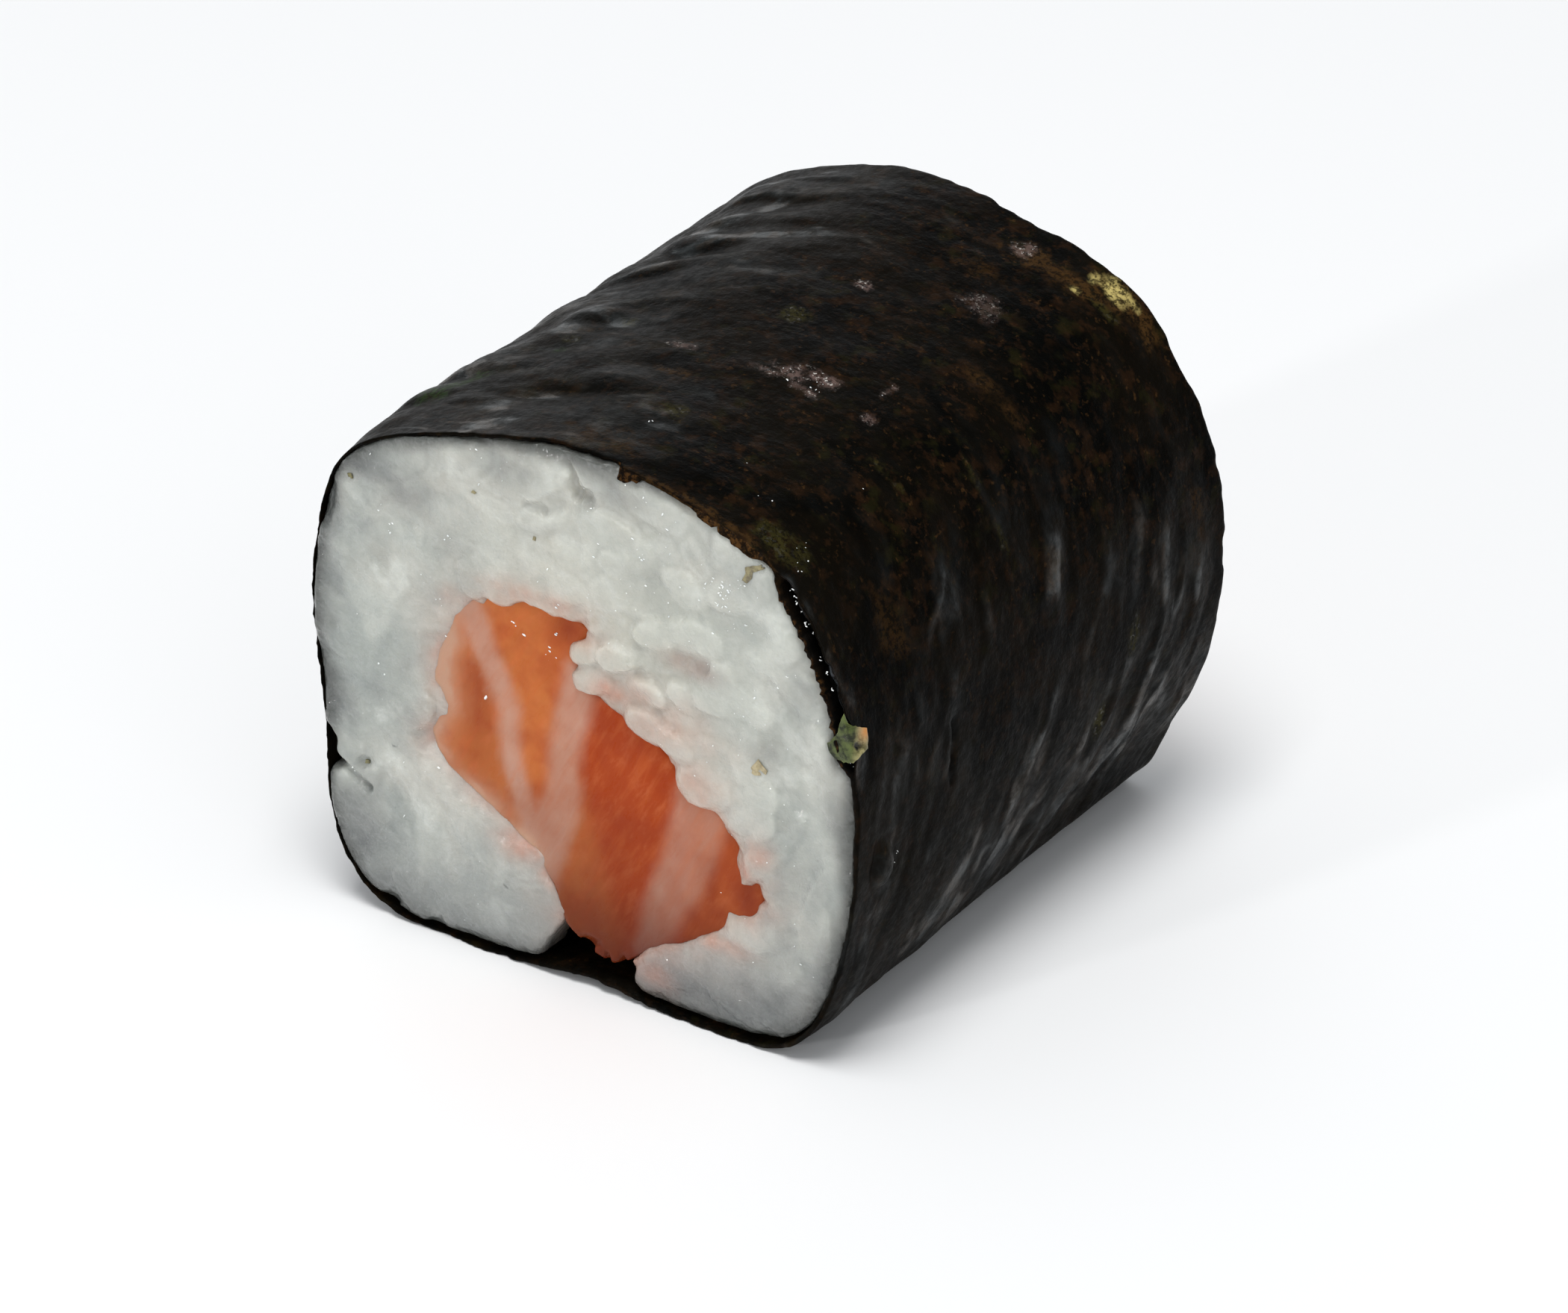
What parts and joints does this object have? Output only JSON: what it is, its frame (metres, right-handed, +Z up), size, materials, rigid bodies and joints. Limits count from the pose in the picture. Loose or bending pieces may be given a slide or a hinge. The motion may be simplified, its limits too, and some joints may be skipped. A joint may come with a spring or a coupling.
{
  "type": "salmon maki roll",
  "caption": "Short cut length of rolled sushi: a seaweed sheet wrapped round rice, with a bar of raw salmon along the middle.",
  "frame": {"origin": "middle of the underside of the roll's bounding box, at the level of the surface it rests on", "axes": "+Y along the roll from the near cut face to the far one, +Z up, +X to the right of someone looking at the near cut face"},
  "size_m": [0.025, 0.025, 0.023],
  "materials": {
    "seaweed": "satin",
    "cooked_rice": "satin",
    "raw_salmon": "satin"
  },
  "bodies": {
    "root": {"nori": "seaweed", "rice": "cooked_rice", "salmon": "raw_salmon"}
  },
  "joints": []
}
